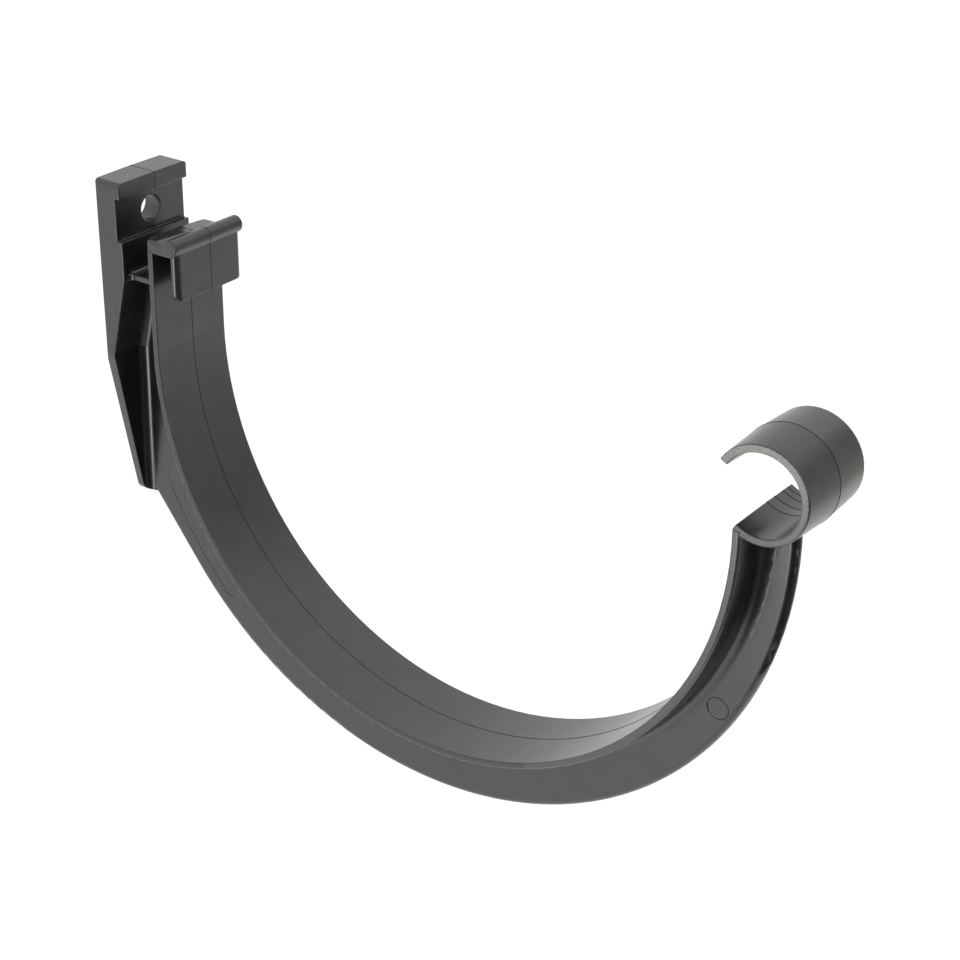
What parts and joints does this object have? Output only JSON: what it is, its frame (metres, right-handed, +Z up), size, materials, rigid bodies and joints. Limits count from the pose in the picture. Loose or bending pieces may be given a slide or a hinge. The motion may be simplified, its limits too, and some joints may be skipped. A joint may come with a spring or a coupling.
{
  "type": "gutter bracket",
  "caption": "One-piece moulded gutter bracket: a wall plate with a screw hole, a ribbed half-round band that cradles the gutter, a rear clip and a hollow front roll.",
  "frame": {"origin": "in the wall face, at the height of the gutter's centre line and in the middle of the bracket's width", "axes": "+X away from the wall, +Y along the gutter, +Z up"},
  "size_m": [0.1525, 0.0186, 0.1089],
  "materials": {
    "bracket_plastic": "graphite grey moulded plastic with a satin sheen"
  },
  "bodies": {
    "root": {"gutter_bracket": "bracket_plastic"}
  },
  "joints": []
}
